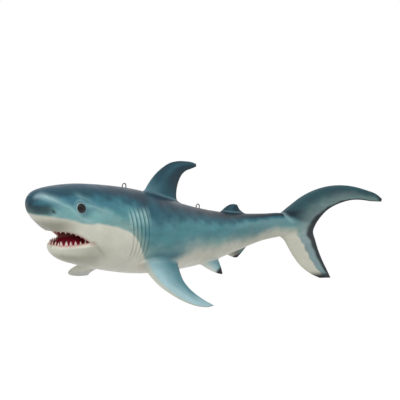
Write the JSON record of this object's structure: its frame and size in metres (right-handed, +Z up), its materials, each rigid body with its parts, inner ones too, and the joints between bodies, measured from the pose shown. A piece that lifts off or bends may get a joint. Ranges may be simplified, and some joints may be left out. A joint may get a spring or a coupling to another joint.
{
  "type": "shark figurine",
  "caption": "Hanging shark figurine with open toothed jaws, gill slits, spread fins and a tail swept to one side; wire loops on its back take the cords.",
  "frame": {"origin": "half way between the centres of the two hanging loops on the back", "axes": "+X along the straight trunk from snout to tail, +Y to the fish's right, +Z up; the tail sweeps towards -Y"},
  "size_m": [0.7153, 0.3545, 0.2494],
  "materials": {
    "painted_resin": "satin",
    "eye_glass": "polished",
    "loop_wire": "satin"
  },
  "bodies": {
    "root": {"body": "painted_resin", "left_eye": "eye_glass", "right_eye": "eye_glass", "front_hanging_loop": "loop_wire", "rear_hanging_loop": "loop_wire"}
  },
  "joints": []
}
